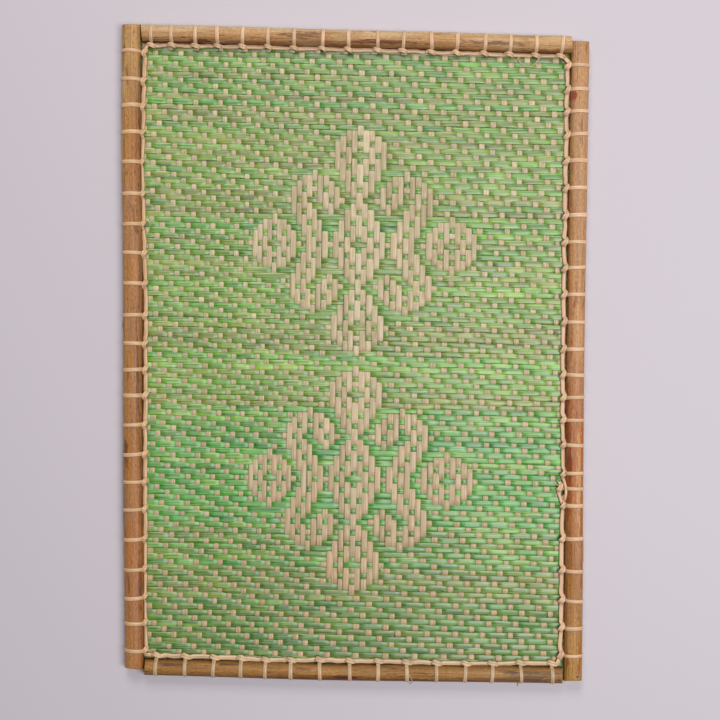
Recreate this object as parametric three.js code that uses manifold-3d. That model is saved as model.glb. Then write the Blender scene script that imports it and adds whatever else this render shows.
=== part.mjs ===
// A bamboo placemat: a flat woven sheet of split strips whose edges lie under four split rods,
// each rod sewn down by one side of a running cane lashing.
//
// Millimetres, +Z up, +Y towards the mat's top end. The origin is under the middle of the mat,
// on the surface that it lies on. Every side has a frame of its own: +X runs along the rod,
// anticlockwise round the mat, +Y points in towards the weave, and Y = 0 is the rod's middle.
import * as THREE from "three";
import { mergeVertices } from "three/addons/utils/BufferGeometryUtils.js";
import Module from "manifold-3d";

// Fits and thicknesses
const CLEAR = 0.3; // between pieces that touch on the real mat
const STRAND = { wide: 2.2, thick: 0.9 }; // the cane strip that the lashing is made of
const MAT_THICK = 1.5; // two crossing layers of strips

// Heights of the layers at the edge of the mat, from the surface up
const MAT_EDGE_RISE = STRAND.thick + CLEAR; // the lashing passes under the edge and lifts it
const MAT_TOP = MAT_EDGE_RISE + MAT_THICK;
const ROD_BASE = MAT_TOP + CLEAR;

// Places across a side, measured from the rod's middle or its inner edge
const MAT_EDGE_INSET = 0.7; // the sheet's edge stops this far inside the rod's outer edge
const RUNNER = { from: CLEAR, wide: 2.5, thick: 1.1 }; // the strand that runs along the rod
const LEG_FROM = 3.2; // where the strand goes down through the sheet, past the rod's inner edge
const EDGE_FLAT = 7; // the sheet is lifted up to here, past the rod's inner edge
const SAG_LENGTH = 22; // and comes down to the surface over this length
const HOLE_ROOM = 0.35; // round each leg of the lashing
const KNOT_RISE = 2.3; // the half hitch that each stitch makes round the runner
const SUNK = 0.15; // a stitch and its runner share this much, so that their faces never coincide

const CROWN_STEPS = 6; // flats on the round back of a rod
const END_GAP = 0.6; // between the end of a runner and the piece that it meets

// The four sides. at: a point of the rod's middle line. heading: its direction in degrees.
// start, end: the rod's ends along that line from the point. first, last: from the rod's ends
// to the outer stitches. drift: three waves, [size, turns over the side, phase in degrees], by
// which the hand-made stitches wander from even spacing. splice: an extra stitch, where a new
// length of strand was laid in.
const SIDES = [
  {
    name: "left", at: [-121.4, -0.4], heading: -88.55, start: -180.2, end: 176.4,
    width: 10.0, height: 6.2, stitches: 22, first: 15.4, last: 8.2,
    drift: [[1.4, 1.25, -132], [1.1, 2.25, 122], [0.8, 4.75, 21]], splice: null,
  },
  {
    name: "bottom", at: [0.6, -175.2], heading: 0, start: -112.0, end: 120.4,
    width: 9.2, height: 5.8, stitches: 15, first: 3.3, last: 6.0,
    drift: [[3.2, 1, 27], [2.4, 1.5, 86], [0.6, 3.5, 180]], splice: null,
  },
  {
    name: "right", at: [124.5, -0.4], heading: 90.52, start: -178.2, end: 176.5,
    width: 9.1, height: 5.6, stitches: 23, first: 19.4, last: 7.4,
    drift: [[3.9, 1, -59], [3, 2, -118], [1.2, 3.5, 66]], splice: -71.3,
  },
  {
    name: "top", at: [0.6, 174.1], heading: 179.6, start: -117.2, end: 119.8,
    width: 9.8, height: 6.0, stitches: 17, first: 8.1, last: 2.5,
    drift: [[3.8, 1, -142], [1.2, 1.5, -11], [0.5, 7.25, -165]], splice: null,
  },
];

const wasm = await Module();
wasm.setup();

// ---- Solids and meshes -------------------------------------------------------------------

function toSolid(geometry) {
  const bare = geometry.clone();
  bare.deleteAttribute("normal");
  bare.deleteAttribute("uv");
  const merged = mergeVertices(bare, 1e-4);
  return new wasm.Manifold(
    new wasm.Mesh({
      numProp: 3,
      vertProperties: merged.attributes.position.array,
      triVerts: new Uint32Array(merged.index.array),
    }),
  );
}

function toGeometry(solid) {
  const mesh = solid.getMesh();
  const geometry = new THREE.BufferGeometry();
  geometry.setAttribute("position", new THREE.BufferAttribute(mesh.vertProperties, 3));
  geometry.setIndex(new THREE.BufferAttribute(mesh.triVerts, 1));
  geometry.computeVertexNormals();
  return geometry;
}

function join(geometries) {
  return geometries.map(toSolid).reduce((whole, next) => whole.add(next));
}

function piece(name, geometry, material) {
  const mesh = new THREE.Mesh(geometry, material);
  mesh.name = name;
  return mesh;
}

// ---- Lines of the four sides, seen from above ---------------------------------------------

function headingOf(side) {
  const angle = (side.heading * Math.PI) / 180;
  return new THREE.Vector2(Math.cos(angle), Math.sin(angle));
}

// A side's line, moved in by a distance measured from the rod's middle.
function lineOf(side, inward) {
  const along = headingOf(side);
  const across = new THREE.Vector2(-along.y, along.x);
  const point = new THREE.Vector2(...side.at).addScaledVector(across, inward);
  return { point, along };
}

function crossing(a, b) {
  const apart = b.point.clone().sub(a.point);
  const distance = apart.cross(b.along) / a.along.cross(b.along);
  return a.point.clone().addScaledVector(a.along, distance);
}

// ---- Geometry in a side's frame ----------------------------------------------------------

// A section drawn as (across, up), carried along the side from one place to another.
function carried(section, from, to) {
  const geometry = new THREE.ExtrudeGeometry(section, { depth: to - from, bevelEnabled: false });
  const across = new THREE.Vector3(0, 1, 0);
  const up = new THREE.Vector3(0, 0, 1);
  const along = new THREE.Vector3(1, 0, 0);
  geometry.applyMatrix4(new THREE.Matrix4().makeBasis(across, up, along));
  geometry.translate(from, 0, 0);
  return geometry;
}

// A block between two places in each direction: along, across and up.
function block([x0, x1], [y0, y1], [z0, z1]) {
  const geometry = new THREE.BoxGeometry(x1 - x0, y1 - y0, z1 - z0);
  geometry.translate((x0 + x1) / 2, (y0 + y1) / 2, (z0 + z1) / 2);
  return geometry;
}

// Points of the rod's round back, grown by an offset, from one angle to another.
function crown(side, grown, fromAngle, toAngle) {
  const points = [];
  for (let i = 0; i <= CROWN_STEPS; i += 1) {
    const angle = fromAngle + ((toAngle - fromAngle) * i) / CROWN_STEPS;
    const across = (side.width / 2 + grown) * Math.cos(angle);
    const up = ROD_BASE + (side.height + grown) * Math.sin(angle);
    points.push(new THREE.Vector2(across, up));
  }
  return points;
}

// Where the stitches of a side sit, along its rod.
function stitchPlaces(side) {
  const from = side.start + side.first;
  const to = side.end - side.last;
  const places = Array.from({ length: side.stitches }, (_, i) => {
    const share = i / (side.stitches - 1);
    const wander = side.drift.reduce((sum, [size, turns, phase]) => {
      return sum + size * Math.sin(2 * Math.PI * turns * share + (phase * Math.PI) / 180);
    }, 0);
    return from + (to - from) * share + wander;
  });
  return side.splice === null ? places : [...places, side.splice];
}

// ---- Rods ----------------------------------------------------------------------------------

function rod(side) {
  const section = new THREE.Shape(crown(side, 0, 0, Math.PI));
  return carried(section, side.start, side.end);
}

// ---- Lashing -------------------------------------------------------------------------------

// One closed turn of the strand: up the outside of the rod, over its back, round the runner in
// a knot, down through the sheet and back under it.
function turnSection(side) {
  const inner = side.width / 2;
  const shell = CLEAR + STRAND.thick;
  const legOut = inner + LEG_FROM + STRAND.thick;
  const legIn = inner + LEG_FROM;
  const knotAngle = Math.asin(KNOT_RISE / (side.height + shell));
  const sunkAngle = Math.asin(SUNK / (side.height + CLEAR));

  const section = new THREE.Shape([
    new THREE.Vector2(-inner - shell, 0),
    new THREE.Vector2(legOut, 0),
    new THREE.Vector2(legOut, ROD_BASE + KNOT_RISE),
    ...crown(side, shell, knotAngle, Math.PI),
  ]);
  const opening = new THREE.Path([
    new THREE.Vector2(-inner - CLEAR, STRAND.thick),
    new THREE.Vector2(legIn, STRAND.thick),
    new THREE.Vector2(legIn, ROD_BASE + SUNK),
    ...crown(side, CLEAR, sunkAngle, Math.PI),
  ]);
  section.holes.push(opening);
  return section;
}

// Where a side's runner starts and ends, along the rod. It runs between the neighbouring rods,
// and on the two short sides between the stitches of the long ones.
function runnerEnds(side) {
  const own = lineOf(side, side.width / 2 + RUNNER.from + RUNNER.wide / 2);
  const upright = side.name === "left" || side.name === "right";
  const reach = END_GAP + (upright ? 0 : LEG_FROM + STRAND.thick);
  const place = SIDES.indexOf(side);
  return [SIDES[(place + 3) % 4], SIDES[(place + 1) % 4]].map((neighbour) => {
    const end = crossing(own, lineOf(neighbour, neighbour.width / 2 + reach));
    return end.sub(new THREE.Vector2(...side.at)).dot(headingOf(side));
  });
}

function lashing(side) {
  const inner = side.width / 2;
  const [runnerStart, runnerEnd] = runnerEnds(side);
  const section = turnSection(side);
  const runner = block(
    [runnerStart, runnerEnd],
    [inner + RUNNER.from, inner + RUNNER.from + RUNNER.wide],
    [ROD_BASE, ROD_BASE + RUNNER.thick],
  );
  const turns = stitchPlaces(side).map((place) =>
    carried(section, place - STRAND.wide / 2, place + STRAND.wide / 2),
  );
  return toGeometry(join([runner, ...turns]));
}

// The holes that the strand of a side needs through the sheet.
function legHoles(side) {
  const from = side.width / 2 + LEG_FROM - HOLE_ROOM;
  const to = from + STRAND.thick + 2 * HOLE_ROOM;
  const half = STRAND.wide / 2 + HOLE_ROOM;
  return stitchPlaces(side).map((place) =>
    block([place - half, place + half], [from, to], [-MAT_THICK, MAT_TOP + MAT_THICK]),
  );
}

// ---- Woven sheet ---------------------------------------------------------------------------

// The four corners of the mat at a distance in from each rod's own edge.
function corners(inwardOf) {
  const lines = SIDES.map((side) => lineOf(side, inwardOf(side)));
  return lines.map((line, i) => crossing(lines[(i + 3) % 4], line));
}

// A flat sheet whose middle lies on the surface and whose border is lifted by the lashing.
// Each loop of four corners has its own height, and the top is the same shape one thickness up.
function wovenSheet() {
  const loops = [
    { height: MAT_EDGE_RISE, points: corners((side) => MAT_EDGE_INSET - side.width / 2) },
    { height: MAT_EDGE_RISE, points: corners((side) => side.width / 2 + EDGE_FLAT) },
    { height: 0, points: corners((side) => side.width / 2 + EDGE_FLAT + SAG_LENGTH) },
  ];
  const positions = [];
  for (const thickness of [0, MAT_THICK]) {
    for (const { height, points } of loops) {
      points.forEach((p) => positions.push(p.x, p.y, height + thickness));
    }
  }
  const topOffset = 4 * loops.length;
  const faces = [];
  const quad = (a, b, c, d) => faces.push(a, b, c, a, c, d);
  for (let i = 0; i < 4; i += 1) {
    const next = (i + 1) % 4;
    for (let loop = 0; loop + 1 < loops.length; loop += 1) {
      const [a, b] = [4 * loop + i, 4 * loop + next];
      quad(a, a + 4, b + 4, b);
      quad(topOffset + a, topOffset + b, topOffset + b + 4, topOffset + a + 4);
    }
    quad(i, next, topOffset + next, topOffset + i);
  }
  const middle = topOffset - 4;
  quad(middle + 3, middle + 2, middle + 1, middle);
  quad(topOffset + middle, topOffset + middle + 1, topOffset + middle + 2, topOffset + middle + 3);

  const geometry = new THREE.BufferGeometry();
  geometry.setAttribute("position", new THREE.Float32BufferAttribute(positions, 3));
  geometry.setIndex(faces);
  const holes = SIDES.flatMap((side) =>
    legHoles(side).map((hole) => hole.applyMatrix4(placeOf(side))),
  );
  return toGeometry(toSolid(geometry).subtract(join(holes)));
}

// ---- The whole mat -------------------------------------------------------------------------

function placeOf(side) {
  const turn = new THREE.Matrix4().makeRotationZ((side.heading * Math.PI) / 180);
  return turn.setPosition(side.at[0], side.at[1], 0);
}

const FINISHES = {
  weave: new THREE.MeshStandardMaterial({ color: 0x86ad66, roughness: 0.6, metalness: 0 }),
  cane: new THREE.MeshStandardMaterial({ color: 0xf0cfa0, roughness: 0.55, metalness: 0 }),
  rod_left: new THREE.MeshStandardMaterial({ color: 0xb08052, roughness: 0.5, metalness: 0 }),
  rod_bottom: new THREE.MeshStandardMaterial({ color: 0xa5824b, roughness: 0.5, metalness: 0 }),
  rod_right: new THREE.MeshStandardMaterial({ color: 0xc08c5c, roughness: 0.5, metalness: 0 }),
  rod_top: new THREE.MeshStandardMaterial({ color: 0xc8a478, roughness: 0.5, metalness: 0 }),
};

const placemat = new THREE.Group();
placemat.add(piece("woven_mat", wovenSheet(), FINISHES.weave));
for (const side of SIDES) {
  const rail = new THREE.Group();
  rail.position.set(side.at[0], side.at[1], 0);
  rail.rotation.z = (side.heading * Math.PI) / 180;
  rail.add(piece(`rod_${side.name}`, rod(side), FINISHES[`rod_${side.name}`]));
  rail.add(piece(`lashing_${side.name}`, lashing(side), FINISHES.cane));
  placemat.add(rail);
}

export default placemat;
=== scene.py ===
"""A bamboo placemat: dyed wefts and plain warps woven into two medallions, four split rods on
the edges, and one running cane strand that sews them down.

Lengths are in millimetres until a mesh is made, where MM turns them into metres. +Z is up and
+Y points to the mat's top end. Each side has a frame of its own: "along" runs with the rod,
anticlockwise round the mat, and "across" points in towards the weave from the rod's middle.
"""

import bpy
import numpy as np
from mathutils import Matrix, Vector


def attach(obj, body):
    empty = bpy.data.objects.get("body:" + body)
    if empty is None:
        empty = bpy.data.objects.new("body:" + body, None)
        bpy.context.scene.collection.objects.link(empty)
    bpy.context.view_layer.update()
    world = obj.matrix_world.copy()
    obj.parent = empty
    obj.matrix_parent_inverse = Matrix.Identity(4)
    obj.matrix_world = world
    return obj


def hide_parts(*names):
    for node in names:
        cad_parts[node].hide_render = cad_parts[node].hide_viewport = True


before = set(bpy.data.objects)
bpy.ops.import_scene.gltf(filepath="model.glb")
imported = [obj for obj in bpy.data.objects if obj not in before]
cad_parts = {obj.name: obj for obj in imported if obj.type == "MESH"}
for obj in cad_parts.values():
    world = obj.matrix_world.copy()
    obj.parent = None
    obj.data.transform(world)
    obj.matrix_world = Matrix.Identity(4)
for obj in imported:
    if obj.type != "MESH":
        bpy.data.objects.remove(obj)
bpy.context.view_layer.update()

MM = 0.001
TURN = 2 * np.pi


def in_scene(name, data):
    """A new object of the given data, at the origin of the scene."""
    thing = bpy.data.objects.new(name, data)
    bpy.context.scene.collection.objects.link(thing)
    return thing


# ---- Camera -----------------------------------------------------------------------------------

CAMERA_ABOVE = (4.72, -3.34)
CAMERA_HEIGHT = 620.0
CAMERA_TURN = 1.18  # degrees about the line of sight
FOCAL_LENGTH = 55.65  # for the 36 mm sensor


def look_straight_down():
    """The camera hangs above the mat's middle and looks straight down, turned a little."""
    lens = bpy.data.cameras.new("overhead")
    lens.lens = FOCAL_LENGTH
    camera = in_scene("overhead", lens)
    camera.location = (CAMERA_ABOVE[0] * MM, CAMERA_ABOVE[1] * MM, CAMERA_HEIGHT * MM)
    camera.rotation_euler = (0, 0, np.radians(CAMERA_TURN))
    bpy.context.scene.camera = camera


look_straight_down()

# ---- The sheet's border and the four sides -------------------------------------------------------

ROD_BASE = 3.0  # height of the rods' flat undersides
MAT_EDGE_RISE = 1.2  # the lashing lifts the sheet's border this much
MAT_EDGE_INSET = 0.7  # the strips end this far inside the rods' outer edges
EDGE_FLAT = 7.0  # the border stays lifted up to here, past a rod's inner edge
SAG_LENGTH = 22.0  # and comes down to the surface over this length

# The four sides, each with its rod and its stitches.
# at, heading: where along is 0, and which way along points, in degrees from +X.
# start, end, width, height: the places of the rod's ends along the side, and the rod's size.
# roundness: of the rod's back. 1 is a half ellipse, and less has squarer shoulders.
# slants: how far the inner edge of the rod's start and end reaches beyond the outer edge.
# rakes: how far the cut leans back from the foot to the top of the rod's start and end.
# bow: waves by which the whole side leaves its straight line, towards the weave.
# stitches, first, last: how many, and how far in from the rod's ends the outer two are.
# drift: waves of (size, turns over the side, phase in degrees) by which the stitches wander.
# splice: where along the side a new length of strand begins.
# runner: from the rod's inner edge to the middle of the strand that runs along it, and
# lay: how much further in it lies at shares of the side. strand: that strand's width.
# knot: how many times as long and as deep as the table's the knots are, and how much further
# in their tops sit.
# worn: how much darker the strand is where it lies over the rod.
SIDES = {
    "left": dict(
        at=(-120.95, -0.4), heading=-88.55, start=-179.9, end=175.6, width=10.9, height=6.2,
        stitches=22, first=15.1, last=7.4, splice=None, knot=(1.0, 0.7, 0.1), worn=0.0,
        drift=((1.4, 1.25, -132), (1.1, 2.25, 122), (0.8, 4.75, 21)),
        bow=((0.25, 2.0, 137),), runner=0.8, strand=2.45, roundness=0.66,
        slants=(0.2, 1.2), rakes=(1.1, 1.0),
        lay=((0, 1.0), (0.1, 0.7), (0.17, -0.3), (0.29, -0.7), (0.38, 0.4), (0.6, 0.4),
             (0.75, 0.1), (0.87, -0.6), (1, -0.3)),
    ),
    "bottom": dict(
        at=(0.6, -175.2), heading=0.0, start=-112.0, end=119.9, width=9.2, height=5.8,
        stitches=15, first=3.3, last=5.5, splice=None, knot=(1.25, 0.6, 1.0), worn=0.15,
        drift=((3.2, 1.0, 27), (2.4, 1.5, 86), (0.6, 3.5, 180)),
        bow=((0.5, 0.0, -90), (0.4, 1.0, 105)), runner=1.3, strand=2.6, roundness=0.70,
        slants=(-0.4, -0.4), rakes=(1.0, 0.8),
        lay=((0, 0.1), (0.2, -0.1), (0.3, -0.6), (0.45, -0.1), (0.65, -0.4), (0.78, -0.8),
             (0.88, -0.2), (1, 0.2)),
    ),
    "right": dict(
        at=(124.05, -0.4), heading=90.52, start=-178.2, end=176.1, width=10.2, height=5.6,
        stitches=23, first=19.4, last=7.0, splice=-71.3, knot=(1.0, 0.9, 0.1), worn=0.0,
        drift=((3.9, 1.0, -59), (3.0, 2.0, -118), (1.2, 3.5, 66)),
        bow=((0.3, 1.0, -90),), runner=1.15, strand=2.5, roundness=0.58,
        slants=(0.2, 0.3), rakes=(1.5, 1.5),
        lay=((0, 0.8), (0.06, 0.7), (0.15, 0.3), (0.25, -0.1), (0.33, -0.6), (0.4, 0.1),
             (0.53, 0.5), (0.62, 0.2), (0.8, 0.3), (1, 0.2)),
    ),
    "top": dict(
        at=(0.6, 174.1), heading=179.6, start=-117.2, end=120.8, width=9.8, height=6.0,
        stitches=17, first=8.1, last=3.5, splice=None, knot=(1.1, 0.55, 0.4), worn=0.0,
        drift=((3.8, 1.0, -142), (1.2, 1.5, -11), (0.5, 7.25, -165)),
        bow=((0.1, 2.0, 40),), runner=0.85, strand=2.25, roundness=0.70,
        slants=(0.7, -1.0), rakes=(0.2, 0.4),
        lay=((0, 0.3), (0.3, 0.1), (0.7, -0.1), (1, 0.4)),
    ),
}


def wave_sum(values, waves):
    """A sum of sines, each (size, turns per unit, phase in degrees)."""
    return sum(size * np.sin(TURN * turns * values + np.radians(phase))
               for size, turns, phase in waves)


def directions(side):
    """The unit vectors along and across a side, as rows of two numbers."""
    angle = np.radians(side["heading"])
    return np.array([[np.cos(angle), np.sin(angle)], [-np.sin(angle), np.cos(angle)]])


def from_side(side, points):
    """Points given as (along, across, up) in a side's frame, moved into the mat's frame."""
    along, across = directions(side)
    share = (points[..., 0:1] - side["start"]) / (side["end"] - side["start"])
    inward = points[..., 1:2] + wave_sum(share, side["bow"])
    flat = points[..., 0:1] * along + inward * across + np.array(side["at"])
    return np.concatenate([flat, points[..., 2:3]], axis=-1)


def to_side(side, x, y):
    """The along and across of (x, y) in a side's frame."""
    along, across = directions(side)
    dx, dy = x - side["at"][0], y - side["at"][1]
    return dx * along[0] + dy * along[1], dx * across[0] + dy * across[1]


def lift(x, y):
    """Height of the sheet's underside: the border's rise, let down to nothing by a smooth step
    over the sag length, taking the highest of the four sides."""
    height = np.zeros(np.broadcast(x, y).shape)
    for side in SIDES.values():
        past_edge = to_side(side, x, y)[1] - side["width"] / 2 - EDGE_FLAT
        share = np.clip(1 - past_edge / SAG_LENGTH, 0, 1)
        height = np.maximum(height, MAT_EDGE_RISE * share * share * (3 - 2 * share))
    return height


# ---- Meshes from arrays ------------------------------------------------------------------------


def make_piece(name, points, faces, loop_uv, point_values, material):
    """A mesh object at the origin from arrays: points in millimetres, faces as a list of arrays
    of corner indices, one UV for each corner in the same order, and named values per point."""
    mesh = bpy.data.meshes.new(name)
    corners = np.concatenate([f.ravel() for f in faces]).astype(np.int32)
    totals = np.concatenate([np.full(len(f), f.shape[1]) for f in faces]).astype(np.int32)
    starts = np.concatenate([[0], np.cumsum(totals)[:-1]]).astype(np.int32)
    mesh.vertices.add(len(points))
    mesh.vertices.foreach_set("co", (points * MM).astype(np.float32).ravel())
    mesh.loops.add(len(corners))
    mesh.loops.foreach_set("vertex_index", corners)
    mesh.polygons.add(len(totals))
    mesh.polygons.foreach_set("loop_start", starts)
    mesh.polygons.foreach_set("loop_total", totals)
    mesh.update(calc_edges=True)
    mesh.validate()
    layer = mesh.uv_layers.new(name="UVMap")
    layer.data.foreach_set("uv", loop_uv.astype(np.float32).ravel())
    for key, values in point_values.items():
        attribute = mesh.attributes.new(key, "FLOAT", "POINT")
        attribute.data.foreach_set("value", values.astype(np.float32).ravel())
    mesh.polygons.foreach_set("use_smooth", np.full(len(totals), True))
    mesh.materials.append(material)
    return in_scene(name, mesh)


def swept_piece(name, points, starts_run, ends_run, length_at, round_share, values, material):
    """Tubes through rings of points, one run after another: a quad for each step round between a
    ring and the next of the same run, and a cap at both ends of every run. The UV's first number
    is the length along the run in centimetres, the second is the share of the way round. values:
    numbers for the material, one to a ring."""
    sides = points.shape[1]
    ring = np.flatnonzero(~ends_run)
    step = np.arange(sides)
    a = ring[:, None] * sides + step
    b = ring[:, None] * sides + (step + 1) % sides
    quads = np.stack([a, b, b + sides, a + sides], axis=-1).reshape(-1, 4)
    first = np.flatnonzero(starts_run)[:, None] * sides + step[::-1]
    last = np.flatnonzero(ends_run)[:, None] * sides + step
    caps = np.concatenate([first, last])

    ring, step = np.repeat(ring, sides), np.tile(step, len(ring))
    centimetres = length_at / 10
    u0, u1 = centimetres[ring], centimetres[ring + 1]
    v0, v1 = round_share[step], round_share[step + 1]
    quad_uv = np.stack([u0, v0, u0, v1, u1, v1, u1, v0], axis=1).reshape(-1, 2)
    cap_uv = np.stack([centimetres[caps // sides], round_share[caps % sides]], axis=-1)
    loop_uv = np.concatenate([quad_uv, cap_uv.reshape(-1, 2)])
    point_values = {key: np.repeat(value, sides) for key, value in values.items()}
    return make_piece(name, points.reshape(-1, 3), [quads, caps], loop_uv, point_values, material)


def shares_round(section):
    """How far round a closed section each of its points lies, ending with 1."""
    steps = np.linalg.norm(np.roll(section, -1, axis=0) - section, axis=1)
    return np.concatenate([[0], np.cumsum(steps) / steps.sum()])


def ribbon_rings(centre, across, up, section, half_wide, half_thick):
    """The points of a section, given as (across, up) from -1 to 1, set round each centre."""
    wide = half_wide[:, None, None] * section[None, :, 0:1] * across[:, None, :]
    thick = half_thick[:, None, None] * section[None, :, 1:2] * up[:, None, :]
    return centre[:, None, :] + wide + thick


# ---- The weave's chart --------------------------------------------------------------------------

# The floats of a half figure: for each column, counted out from its middle, the first and last
# row of each float, counted away from the middle.
POINTED_HALF = {
    0: ((2, 5), (7, 9)), 1: ((1, 3), (5, 7)), 2: ((0, 1), (3, 6)), 3: ((1, 4),), 4: ((0, 2),),
}
ROUND_HALF = {
    0: ((2, 2), (4, 5)), 1: ((1, 4),), 2: ((0, 1), (3, 4)), 3: ((1, 3),), 4: ((0, 2),), 5: ((0, 0),),
}
SHORT_HALF = {1: ((0, 0),), 2: ((0, 1),), 3: ((1, 2),), 4: ((0, 1),)}

# The figures of one quarter of a medallion. column, row: the figure's middle. half: its floats.
# rows: -1 towards the medallion's middle row or 1 away from it. columns: the same for columns.
FIGURES = (
    dict(column=0, row=0, half=POINTED_HALF, rows=1, columns=(1,)),
    dict(column=10, row=0, half=POINTED_HALF, rows=1, columns=(-1,)),
    dict(column=0, row=16, half=ROUND_HALF, rows=1, columns=(1,)),
    dict(column=0, row=16, half=POINTED_HALF, rows=-1, columns=(1,)),
    dict(column=16, row=0, half=ROUND_HALF, rows=1, columns=(-1, 1)),
    dict(column=8, row=8, half=ROUND_HALF, rows=1, columns=(-1, 1)),
    dict(column=8, row=8, half=POINTED_HALF, rows=-1, columns=(1,)),
    dict(column=8, row=8, half=SHORT_HALF, rows=-1, columns=(-1,)),
)
SINGLE_FLOATS = ((5, 0), (9, 0), (5, 16), (3, 8), (13, 8))  # (column, row)
MEDALLION_REACH = 21  # strips from a medallion's middle to its tips
MEDALLION_ROWS = (0, 45)  # the middle rows of the two medallions

# Strips are numbered from the middle of the first medallion, warps to the right and wefts down.
FIRST_WARP, LAST_WARP = -48, 43
FIRST_WEFT, LAST_WEFT = -40, 82
GROUND_REPEAT = 5  # the ground's warp shows at one crossing in this many
GROUND_STEP = 2  # and this many columns on with each row


def medallion_quarter():
    """True where a warp floats, for columns and rows counted from the medallion's middle."""
    quarter = np.zeros((MEDALLION_REACH + 1, MEDALLION_REACH + 1), bool)
    for figure in FIGURES:
        for out, runs in figure["half"].items():
            for direction in figure["columns"]:
                column = abs(figure["column"] + direction * out)
                for near, far in runs:
                    rows = np.abs(figure["row"] + figure["rows"] * np.arange(near, far + 1))
                    quarter[rows, column] = True
    for column, row in SINGLE_FLOATS:
        quarter[row, column] = True
    return quarter


def weave_chart():
    """True where the warp lies on top, by weft row and warp column. The ground is a satin whose
    warp shows at one crossing in five, two columns on with each row; each medallion mirrors its
    quarter four ways, and the ground leaves out the spots inside it and right beside its floats."""
    rows = np.arange(FIRST_WEFT, LAST_WEFT + 1)[:, None]
    columns = np.arange(FIRST_WARP, LAST_WARP + 1)[None, :]
    ground = (columns - GROUND_STEP * rows) % GROUND_REPEAT == GROUND_STEP
    quarter = medallion_quarter()
    outline = MEDALLION_REACH - np.argmax(quarter[::-1], axis=0)
    figure = np.zeros_like(ground)
    cleared = np.zeros_like(ground)
    for middle in MEDALLION_ROWS:
        row, column = np.broadcast_arrays(np.abs(rows - middle), np.abs(columns))
        near = (row <= MEDALLION_REACH) & (column <= MEDALLION_REACH)
        figure[near] |= quarter[row[near], column[near]]
        cleared[near] |= row[near] <= outline[column[near]]
    beside = figure.copy()
    beside[1:] |= figure[:-1]
    beside[:-1] |= figure[1:]
    beside[:, 1:] |= figure[:, :-1]
    beside[:, :-1] |= figure[:, 1:]
    return figure | (ground & ~cleared & ~beside)


# ---- Woven strips --------------------------------------------------------------------------------

SHEET_MIDDLE = 0.72  # height of the weave's middle plane above the sheet's underside
LEVEL = 0.32  # a strip lies this far above or below the middle plane
HALF_THICK = 0.22  # of a strip
CROSSING_HALF = 0.37  # a strip keeps its level this share of the spacing either side of a crossing
ARCH_RISE = 0.032  # a float's middle rises this much for each crossing it spans,
ARCH_MOST = 4  # up to this many
EDGE_LIFT = 0.18  # under the rods the strips are held up against them this much,
EDGE_LIFT_REACH = 14.0  # let down over this length from the sheet's edge
DIP = 0.35  # how deep the ends of a float count, where its middle is 0 and a covered strip is 1
DIP_REACH = 0.6  # and how high an arch has to be, as a share, to count as 0
SINGLE_WIDE, COVERED_WIDE = 1.02, 0.86  # width of a float of one crossing, and under others
SLIM_SHARE, SLIM_WIDE = 0.08, 0.88  # this share of the strips is slimmer, by this much
SHORTEST = 8.0  # strips shorter than this are left out
FRAYED = 0.5  # the ends are drawn back up to this much
TRIM = 0.4  # no ring of a strip stands nearer to its ends than this
ROD_END_COVER = 0.6  # in a corner, the sheet ends this far inside the ends of the rod over it
SCAN = np.arange(-190, 190, 0.2)  # the places at which the sheet's edges are looked for
ROLL_SPREAD = 0.03  # how much whole strips roll, and the waves (size, millimetres to a radian)
ROLL_WAVE, SIDE_WAVES, WIDTH_WAVE = (0.02, 17), ((0.12, 31), (0.07, 11)), (0.05, 23)  # along them
SWELL_SPREAD = 0.05  # how much the swelling of floats differs
GRAIN_FROM = -200.0  # where the first strip's grain starts,
GRAIN_STEP = 37.0  # and how much further on than the last one's each other strip's does

# Both sets of strips: the first and last strip's places, the waves by which the hand-set spacing
# drifts (size, turns over the set, phase), how much of the spacing a strip fills, and for each
# float its ends' share of the width, and how much it may swell, slide sideways and roll.
WARPS = dict(
    count=LAST_WARP - FIRST_WARP + 1, first=-132.6, last=134.0, jitter=0.12, fill=(1.02, 1.12),
    drift=((5.6, 0.75, 155), (1.2, 2.25, -93)), waist=0.97, swell=0.06, slide=0.08, roll=0.035,
)
WEFTS = dict(
    count=LAST_WEFT - FIRST_WEFT + 1, first=181.2, last=-180.7, jitter=0.18, fill=(1.0, 1.16),
    drift=((1.6, 1.5, 75), (0.5, 2.75, -49)), waist=0.93, swell=0.13, slide=0.18, roll=0.06,
)

# A strip's section, across and up. The last two points are the edges of the upper face.
STRIP_SECTION = np.array([
    (-1, 0.25), (-0.96, -0.9), (0.96, -0.9), (1, 0.25), (0.74, 0.95), (-0.74, 0.95),
])
UPPER_FACE = slice(4, 6)


def strip_places(strips, rng):
    """Middle, width and spacing of every strip in a set: even spacing, plus the drift's waves,
    plus a little seeded jitter; the width is a seeded share of the local spacing, and a few
    strips are slimmer."""
    share = np.linspace(0, 1, strips["count"])
    places = strips["first"] + (strips["last"] - strips["first"]) * share
    places = places + wave_sum(share, strips["drift"])
    spacing = np.abs(np.gradient(places))
    places = places + rng.uniform(-strips["jitter"], strips["jitter"], strips["count"])
    low, high = strips["fill"]
    fill = rng.uniform(low, high, strips["count"])
    fill = np.where(rng.random(strips["count"]) < SLIM_SHARE, fill * SLIM_WIDE, fill)
    return places, spacing * fill, spacing


def run_edges(on_top):
    """For each crossing, the first and the last crossing of the float that it belongs to, where
    the strips are rows and floats run along each row."""
    count = on_top.shape[1]
    index = np.broadcast_to(np.arange(count), on_top.shape)
    change = np.ones(on_top.shape, bool)
    change[:, 1:] = on_top[:, 1:] != on_top[:, :-1]
    first = np.maximum.accumulate(np.where(change, index, 0), axis=1)
    ending = np.ones(on_top.shape, bool)
    ending[:, :-1] = change[:, 1:]
    last = np.minimum.accumulate(np.where(ending, index, count - 1)[:, ::-1], axis=1)[:, ::-1]
    return first, last


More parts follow.
